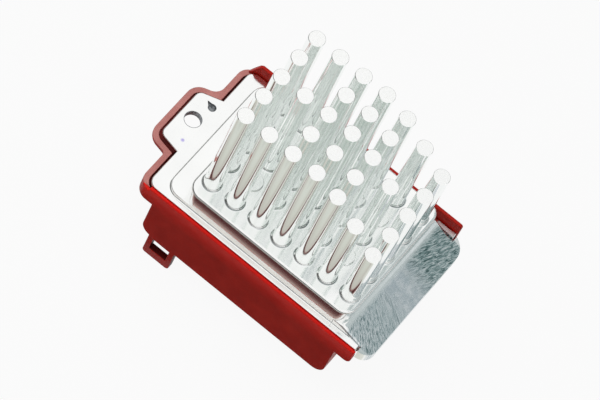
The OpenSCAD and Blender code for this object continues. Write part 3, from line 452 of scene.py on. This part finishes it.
def soften(node, name, radius, wanted):
    """A copy of a CAD piece with its sharp edges rounded, where wanted(bend, low, high) is true.

    The bend is the angle between an edge's faces in degrees, and it is negative in inner corners.
    """
    piece = joined_copy(node, name)
    shape = bmesh.from_edit_mesh(piece.data)
    picked = 0
    for edge in shape.edges:
        low, high = sorted(v.co.z for v in edge.verts)
        bend = math.degrees(edge.calc_face_angle_signed(0))
        if abs(bend) > sharp_bend and wanted(bend, low, high) and not stays_sharp(edge):
            edge.select_set(True)
            picked += 1
    bmesh.update_edit_mesh(piece.data)
    bpy.ops.mesh.bevel(offset=radius, segments=3, affect="EDGES", clamp_overlap=False)
    bpy.ops.object.mode_set(mode="OBJECT")
    bpy.ops.object.shade_smooth_by_angle(angle=math.radians(smooth_bend))
    bpy.ops.object.modifier_add(type="WEIGHTED_NORMAL")
    piece.modifiers[-1].keep_sharp = True
    piece.modifiers[-1].weight = 100
    bpy.ops.object.modifier_apply(modifier=piece.modifiers[-1].name)
    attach(piece, "root")
    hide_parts(node)
    print(name, "rounded edges:", picked, "faces:", len(piece.data.polygons))
    return piece


# %% Round the casting and the moulding
def edge_of_casting(bend, low, high):
    """The plate's, step's and lip's outer edges, and the inner corner round the platform's foot."""
    if bend > 0:
        return low > plate_top - 0.0006 and high < platform_top - 0.0005
    return low > plate_top - 0.0001 and high < plate_top + 0.0002


def edge_of_moulding(bend, low, high):
    """All the housing's outer edges."""
    return bend > 0


casting = soften("heat_sink", "heat_sink_casting", radius=0.0004, wanted=edge_of_casting)
moulding = soften("housing", "housing_moulding", radius=0.0003, wanted=edge_of_moulding)
nodes["heat_sink"] = casting
nodes["housing"] = moulding

# %% [markdown]
# ## Tools for the finishes
#
# Each finish below is a Principled shader with noise in its colour and its roughness, and often in
# its bump. The noise reads Object coordinates in metres, so a scale of 2000 means grains of about
# half a millimetre on every piece. Stretching the coordinates turns grains into streaks.

# %% A finish with noise, ramps and bump
class Finish:
    """A material with a Principled shader, and short ways to add nodes to it."""

    def __init__(self, name, colour, metallic, roughness):
        self.material = bpy.data.materials.new(name)
        self.material.use_nodes = True
        self.tree = self.material.node_tree
        self.shader = self.tree.nodes["Principled BSDF"]
        self.shader.inputs["Base Color"].default_value = (*colour, 1)
        self.shader.inputs["Metallic"].default_value = metallic
        self.shader.inputs["Roughness"].default_value = roughness
        self.where = self.add("TexCoord", {}).outputs

    def add(self, kind, sockets, **settings):
        """Adds a node to the finish."""
        return add_node(self.tree, kind, sockets, **settings)

    def noise(self, scale, detail, stretch=(1, 1, 1)):
        """Grains of about 1 / scale metres, made finer along an axis by its stretch."""
        place = self.add("Mapping", {"Vector": self.where["Object"], "Scale": stretch})
        grain = {"Vector": place.outputs[0], "Scale": scale, "Detail": detail}
        return self.add("TexNoise", grain).outputs["Fac"]

    def ramp(self, value, *stops):
        """Turns a value into the colours of stops."""
        return colour_ramp(self.tree, value, stops)

    def level(self, value, low, high, new_low=0, new_high=1):
        """Carries a value from one range to another, and stops at its ends."""
        ranges = {"Value": value, "From Min": low, "From Max": high,
                  "To Min": new_low, "To Max": new_high}
        return self.add("MapRange", ranges).outputs[0]

    def spread(self, grain, low, high):
        """Carries a grain, which mostly lies between 0.3 and 0.7, to another range."""
        return self.level(grain, 0.3, 0.7, low, high)

    def colour(self, socket):
        """Takes the colour from a socket."""
        self.tree.links.new(socket, self.shader.inputs["Base Color"])

    def gloss(self, socket):
        """Takes the roughness from a socket."""
        self.tree.links.new(socket, self.shader.inputs["Roughness"])

    def bump(self, height, depth, strength):
        """Takes the relief from a socket, with its depth in metres."""
        relief = self.add("Bump", {"Height": height, "Distance": depth, "Strength": strength})
        self.tree.links.new(relief.outputs[0], self.shader.inputs["Normal"])

    def wear(self, *names):
        """Gives the finish to the named pieces."""
        for name in names:
            nodes[name].data.materials.clear()
            nodes[name].data.materials.append(self.material)
        print(self.material.name, "on", ", ".join(names))


# %% [markdown]
# The casting and the moulding change their look from place to place. Faces could be picked for
# separate materials, but regions of a casting fade into each other. So these two finishes also get
# masks: values that are 1 inside a region and 0 outside it, by height, place or direction.

# %% A finish with regions
class PatchyFinish(Finish):
    """A finish with masks for the regions of a piece, and ways to mix by them."""

    def axis(self, name):
        """The place along an axis, in metres."""
        return self.add("SeparateXYZ", {0: self.where["Object"]}).outputs[name]

    def both(self, first, second):
        """1 where both masks are 1."""
        return self.add("Math", {0: first, 1: second}, operation="MULTIPLY").outputs[0]

    def band(self, value, start, full, full_end, end):
        """Rises from 0 at start to 1 at full, and falls from 1 at full_end to 0 at end."""
        return self.both(self.level(value, start, full), self.level(value, full_end, end, 1, 0))

    def facing_up(self):
        """1 where the surface looks up, and 0 on its walls."""
        upward = self.add("SeparateXYZ", {0: self.where["Normal"]}).outputs["Z"]
        return self.level(upward, 0.5, 0.8)

    def facing(self, place):
        """1 on walls that look towards a place, and 0 on those that look away."""
        inward = self.add("VectorMath", {0: place, 1: self.where["Object"]}, operation="SUBTRACT")
        pair = {0: self.where["Normal"], 1: inward.outputs[0]}
        share = self.add("VectorMath", pair, operation="DOT_PRODUCT")
        return self.level(share.outputs["Value"], 0.001, 0.003)

    def near(self, place, radius, fade):
        """1 within a radius of an upright line through a place, fading to 0 outside it."""
        level_only = {0: self.where["Object"], 1: (1, 1, 0)}
        flat = self.add("VectorMath", level_only, operation="MULTIPLY")
        pair = {0: flat.outputs[0], 1: (place[0], place[1], 0)}
        away = self.add("VectorMath", pair, operation="DISTANCE")
        return self.level(away.outputs["Value"], radius, radius + fade, 1, 0)

    def streaks(self, width, length, turn, curl):
        """Streaks of a size in metres, turned in degrees from X, and alike at any height."""
        layout = {"Vector": self.where["Object"], "Scale": (length, width, 1),
                  "Rotation": (0, 0, math.radians(turn))}
        place = self.add("Mapping", layout, vector_type="TEXTURE")
        grain = {"Vector": place.outputs[0], "Scale": 1.0, "Detail": 4.0, "Distortion": curl}
        return self.add("TexNoise", grain).outputs["Fac"]

    def blend(self, share, first, second):
        """Mixes two colours by a mask."""
        colours = {"Factor": share, 6: first, 7: second}
        return self.add("Mix", colours, data_type="RGBA").outputs[2]

    def blend_value(self, share, first, second):
        """Mixes two plain values by a mask."""
        values = {"Factor": share, 2: first, 3: second}
        return self.add("Mix", values, data_type="FLOAT").outputs[0]


# %% [markdown]
# ## Cast aluminium: where its skin changes
#
# The heat sink is one casting, but its skin isn't the same all over. The pins are smooth and bright,
# with fine marks along their length from being drawn out of the die. Their cropped tops are frosted,
# and a dark ring is painted round each foot as painted shade in the corner there. The sloping lip,
# where the metal entered the mould, is marbled with flow marks, and its dark teal streaks are also
# a painted reflection of dark surroundings. The hole and the punch mark in the tab are dull and
# painted dark, as painted shade inside them, and a tester has left a faint dab of violet ink there.

# %% Find the regions of the casting
aluminium = PatchyFinish("cast_aluminium", (0.91, 0.915, 0.91), metallic=1.0, roughness=0.15)
along = aluminium.axis("X")
across = aluminium.axis("Y")
height = aluminium.axis("Z")
slope_half = 0.025
ink_place = Vector((0.0020, -0.0080, plate_top))
on_pins = aluminium.level(height, platform_top + 0.0004, platform_top + 0.0012)
on_tops = aluminium.both(on_pins, aluminium.facing_up())
round_feet = aluminium.band(height, platform_top + 0.00002, platform_top + 0.00008,
                            platform_top + 0.00018, platform_top + 0.00026)
past_platform = aluminium.level(along, platform_end + 0.0008, platform_end + 0.0022)
on_slope = aluminium.band(across, -1.01 * slope_half, -0.99 * slope_half,
                          0.99 * slope_half, 1.01 * slope_half)
on_lip = aluminium.both(past_platform, on_slope)
far_lip = aluminium.level(across, 0.002, 0.011)
near_lip = aluminium.level(across, -0.003, -0.010)
front_lip = aluminium.level(across, -0.008, -0.017)
beside_rail = aluminium.both(aluminium.level(across, slope_half, slope_half + 0.0002),
                             aluminium.level(along, platform_end, platform_end + 0.0005))
in_hole = aluminium.near(tab_hole, radius=hole_radius + 0.00012, fade=0.0001)
in_mark = aluminium.both(aluminium.near(punch_mark, radius=mark_reach, fade=0.0002),
                         aluminium.level(height, plate_top - 0.0001, plate_top - 0.0003))
in_ink = aluminium.both(aluminium.near(ink_place, radius=0.0003, fade=0.0005),
                        aluminium.facing_up())
print("regions by height from", round(platform_top, 4), "by length from", round(platform_end, 4))

# %% [markdown]
# Each region now gets its own noise: fine streaks up the pins, curled streaks for the flow marks,
# and a faint grain with slow clouds for the plate and the platform. The flow marks run along the
# lip at its far end, fan out across it near the front, and break up into short hairs at the corner.

# %% Draw the marks of the casting
pin_marks = aluminium.noise(scale=1.0, detail=2.0, stretch=(900, 900, 25))
clouds = aluminium.noise(scale=110, detail=2.0)
cast_grain = aluminium.noise(scale=1200, detail=3.0)
far_flow = aluminium.streaks(width=0.00042, length=0.0024, turn=70, curl=0.9)
mid_flow = aluminium.noise(scale=420, detail=5.0)
near_fan = aluminium.streaks(width=0.00042, length=0.0055, turn=-29, curl=1.4)
near_hair = aluminium.streaks(width=0.00040, length=0.0016, turn=-40, curl=0.9)
near_flow = aluminium.blend_value(front_lip, near_fan, near_hair)
lip_flow = aluminium.blend_value(near_lip, mid_flow, near_flow)
lip_flow = aluminium.blend_value(far_lip, lip_flow, far_flow)
print("nodes for the regions and marks:", len(aluminium.tree.nodes))

# %% Colour the casting
plate_colour = aluminium.ramp(clouds, (0.3, (0.92, 0.925, 0.915)), (0.7, (0.955, 0.96, 0.95)))
pin_colour = aluminium.ramp(pin_marks, (0.32, (0.91, 0.935, 0.92)), (0.68, (0.945, 0.96, 0.95)))
top_colour = aluminium.ramp(cast_grain, (0.3, (0.93, 0.935, 0.92)), (0.6, (0.985, 0.985, 0.975)))
# Painted reflection: the lip's colours follow its flow marks, and their dark teal streaks paint in a
# reflection of dark surroundings.
far_colour = aluminium.ramp(far_flow, (0.38, (0.105, 0.17, 0.17)), (0.49, (0.33, 0.43, 0.43)),
                            (0.65, (0.76, 0.79, 0.79)))
mid_colour = aluminium.ramp(mid_flow, (0.36, (0.62, 0.665, 0.70)), (0.64, (0.82, 0.83, 0.85)))
near_colour = aluminium.ramp(near_flow, (0.36, (0.20, 0.28, 0.285)), (0.47, (0.57, 0.635, 0.65)),
                             (0.6, (0.80, 0.82, 0.83)))
lip_colour = aluminium.blend(near_lip, mid_colour, near_colour)
lip_colour = aluminium.blend(far_lip, lip_colour, far_colour)
# Painted shade: a dark ring round each pin's foot, for the shade in the corner there.
painted_foot_shade = aluminium.ramp(clouds, (0.4, (0.22, 0.26, 0.26)), (0.6, (0.84, 0.87, 0.86)))
ink_colour = aluminium.ramp(cast_grain, (0.3, (0.40, 0.36, 0.72)), (0.7, (0.62, 0.58, 0.88)))
# Painted shade: the hole's wall and the punch mark are painted dark, for the shade inside them.
painted_recess_shade = aluminium.ramp(cast_grain, (0.35, (0.12, 0.13, 0.135)), (0.65, (0.42, 0.44, 0.46)))
skin = plate_colour
for region, colour in ((on_lip, lip_colour), (on_pins, pin_colour), (on_tops, top_colour),
                       (round_feet, painted_foot_shade), (in_ink, ink_colour),
                       (in_hole, painted_recess_shade), (in_mark, painted_recess_shade)):
    skin = aluminium.blend(region, skin, colour)
aluminium.colour(skin)
print("nodes with the colours:", len(aluminium.tree.nodes))

# %% [markdown]
# Roughness and bump follow the same masks. They are kept weak on the pins and the platform, because
# strong bump on a mirror looks like crumpled foil.

# %% Roughen the casting
gloss = aluminium.spread(cast_grain, 0.11, 0.16)
lip_gloss = aluminium.spread(lip_flow, 0.2, 0.34)
pin_gloss = aluminium.spread(pin_marks, 0.06, 0.10)
dull_gloss = aluminium.spread(cast_grain, 0.5, 0.6)
top_gloss = aluminium.spread(cast_grain, 0.24, 0.36)
for region, value in ((on_lip, lip_gloss), (on_pins, pin_gloss), (beside_rail, dull_gloss),
                      (in_hole, dull_gloss), (in_mark, dull_gloss), (on_tops, top_gloss)):
    gloss = aluminium.blend_value(region, gloss, value)
aluminium.gloss(gloss)

relief = aluminium.level(cast_grain, 0, 1, 0, 0.025)
lip_relief = aluminium.level(lip_flow, 0, 1, 0, 1.5)
pin_relief = aluminium.level(pin_marks, 0, 1, 0, 0.006)
top_relief = aluminium.level(cast_grain, 0, 1, 0, 0.25)
for region, value in ((on_lip, lip_relief), (on_pins, pin_relief), (on_tops, top_relief)):
    relief = aluminium.blend_value(region, relief, value)
aluminium.bump(relief, depth=0.0001, strength=0.6)
aluminium.wear("heat_sink")

# %% [markdown]
# ## Red plastic
#
# The housing is moulded in glass-filled red plastic. Such plastic is satin rather than shiny, with a
# fine spark-eroded grain from the mould and slightly paler, drier patches where the glass fibre
# comes near the skin. The rim's top is painted pale pink, a painted sheen for the light it catches
# from above. The gap inside the rim, the seat under the tab and the plastic seen through the screw
# hole are painted dark, as painted shade. The thin lip along the front lets some light through, so
# its red is painted brighter towards its edge, as painted light. True translucency would be slow
# to render for so small an effect, so masks pick out this lip as well.

# %% Find the regions of the moulding
red_plastic = PatchyFinish("red_plastic", (0.55, 0.02, 0.012), metallic=0.0, roughness=0.42)
red_plastic.shader.inputs["Specular IOR Level"].default_value = 0.12
red_across = red_plastic.axis("Y")
red_height = red_plastic.axis("Z")
rim_top = -0.0017
seat_top = -0.0024
lip_edge = -0.0004
lip_fade = 0.0085
hole_shade_reach = 0.005
on_rim = red_plastic.level(red_height, rim_top - 0.0003, rim_top - 0.0001)
over_rim = red_plastic.level(red_height, rim_top + 0.0001, rim_top + 0.0003)
in_front = red_plastic.level(red_across, housing_low.y + 0.0013, housing_low.y + 0.0011)
thin_edge = red_plastic.both(in_front,
                             red_plastic.level(red_height, lip_edge - lip_fade, lip_edge))
in_gap = red_plastic.both(red_plastic.level(red_height, rim_top, rim_top - 0.0002),
                          red_plastic.facing(middle))
at_seat = red_plastic.band(red_height, seat_top - 0.0002, seat_top - 0.0001,
                           seat_top + 0.0001, seat_top + 0.0004)
under_tab = red_plastic.both(at_seat, red_plastic.facing_up())
below_hole = red_plastic.near(tab_hole, radius=hole_shade_reach, fade=0.0003)
print("rim top and seat in mm:", [round(1000 * z, 1) for z in (rim_top, seat_top)])

# %% Colour and roughen the red plastic
red_clouds = red_plastic.noise(scale=160, detail=3.0)
red_grain = red_plastic.noise(scale=2600, detail=2.0)
fresh = red_plastic.ramp(red_clouds, (0.3, (0.43, 0.015, 0.008)), (0.55, (0.49, 0.018, 0.010)),
                         (0.75, (0.54, 0.022, 0.012)))
# Painted light: a brighter red for light through the front lip, a pale pink sheen on the rim's top,
# and dark shade in the gap inside the rim, on the seat under the tab and under the screw hole.
bright = red_plastic.ramp(red_clouds, (0.3, (0.76, 0.012, 0.007)), (0.7, (0.84, 0.016, 0.009)))
painted_rim_sheen = red_plastic.ramp(red_clouds, (0.3, (0.50, 0.183, 0.163)), (0.7, (0.62, 0.27, 0.243)))
painted_gap_shade = red_plastic.ramp(red_clouds, (0.3, (0.07, 0.006, 0.005)), (0.7, (0.13, 0.010, 0.008)))
painted_hole_shade = red_plastic.ramp(red_clouds, (0.3, (0.10, 0.088, 0.085)), (0.7, (0.16, 0.14, 0.135)))
worn = fresh
for region, colour in ((on_rim, painted_rim_sheen), (over_rim, fresh), (in_front, fresh), (in_gap, painted_gap_shade),
                       (under_tab, painted_gap_shade), (below_hole, painted_hole_shade), (thin_edge, bright)):
    worn = red_plastic.blend(region, worn, colour)
red_plastic.colour(worn)
red_plastic.gloss(red_plastic.spread(red_grain, 0.36, 0.5))
red_plastic.bump(red_grain, depth=0.00004, strength=0.35)
red_plastic.wear("housing")

# %% [markdown]
# ## Tin-plated blades and plated screws
#
# The blades are stamped from brass strip and tinned, so they keep faint rolling marks along their
# length. The screws are zinc plated, which is a little bluer and more even. Both are bright metals,
# and the direction and size of the marks tell them apart. One grain is enough for finishes like
# these, and it sets both the colour and the gloss.

# %% Make the tinned brass and the screw steel
def grained(name, pieces, metallic, grain, dark, light, gloss, light_at=0.65, bump=None):
    """A finish whose colour and gloss follow one grain, given to the named pieces."""
    plain = [(a + b) / 2 for a, b in zip(dark, light)]
    finish = Finish(name, plain, metallic, sum(gloss) / 2)
    marks = finish.noise(*grain)
    finish.colour(finish.ramp(marks, (0.35, dark), (light_at, light)))
    finish.gloss(finish.spread(marks, *gloss))
    if bump:
        finish.bump(marks, *bump)
    finish.wear(*pieces)


blades = ("motor_blade_positive", "motor_blade_negative", "supply_blade_positive",
          "supply_blade_negative", "control_blade", "sense_blade")
grained("tinned_brass", blades, metallic=1.0, grain=(1.0, 3.0, (1500, 1500, 80)),
        dark=(0.64, 0.61, 0.52), light=(0.80, 0.78, 0.72), gloss=(0.2, 0.36), bump=(0.00002, 0.3))
screws = ("transistor_screws", "housing_screws")
grained("screw_steel", screws, metallic=1.0, grain=(700, 3.0),
        dark=(0.52, 0.54, 0.57), light=(0.66, 0.67, 0.68), gloss=(0.25, 0.42))

# %% [markdown]
# ## The board and what is on it
#
# These pieces are closed in, and show only when the housing comes off. They still get the look of
# the real things: glass cloth under green lacquer, matt black moulded bodies, a shiny sleeve on the
# can and a brown rolled strip for the shunt. Pictures could show every track and joint, but for
# pieces that are seldom seen one grain each is enough.

# %% Make the finishes inside the housing
grained("board_laminate", ["circuit_board"], metallic=0.0, grain=(1.0, 1.0, (1800, 500, 1)),
        dark=(0.03, 0.16, 0.06), light=(0.06, 0.25, 0.10), gloss=(0.28, 0.42))
bodies = ("power_transistor_left", "power_transistor_right", "control_chip", "chip_resistors",
          "suppressor_diode")
grained("black_epoxy", bodies, metallic=0.0, grain=(3000, 2.0),
        dark=(0.02, 0.02, 0.02), light=(0.045, 0.045, 0.045), gloss=(0.42, 0.6),
        light_at=0.7, bump=(0.00003, 0.3))
pads = ("insulating_pad_left", "insulating_pad_right")
grained("insulating_film", pads, metallic=0.0, grain=(1400, 2.0),
        dark=(0.56, 0.60, 0.65), light=(0.66, 0.70, 0.73), gloss=(0.34, 0.5))
grained("resistance_alloy", ["shunt_resistor"], metallic=1.0, grain=(1.0, 3.0, (60, 1800, 600)),
        dark=(0.46, 0.32, 0.21), light=(0.60, 0.45, 0.33), gloss=(0.26, 0.44))
grained("capacitor_sleeve", ["bulk_capacitor"], metallic=0.0, grain=(500, 2.0),
        dark=(0.022, 0.022, 0.065), light=(0.04, 0.04, 0.10), gloss=(0.16, 0.28))
grained("film_resin", ["filter_capacitors"], metallic=0.0, grain=(600, 2.0),
        dark=(0.56, 0.42, 0.07), light=(0.70, 0.55, 0.13), gloss=(0.24, 0.38))
grained("fuse_metal", ["thermal_fuse"], metallic=1.0, grain=(1.0, 3.0, (60, 1600, 1600)),
        dark=(0.60, 0.60, 0.57), light=(0.76, 0.76, 0.74), gloss=(0.22, 0.38))
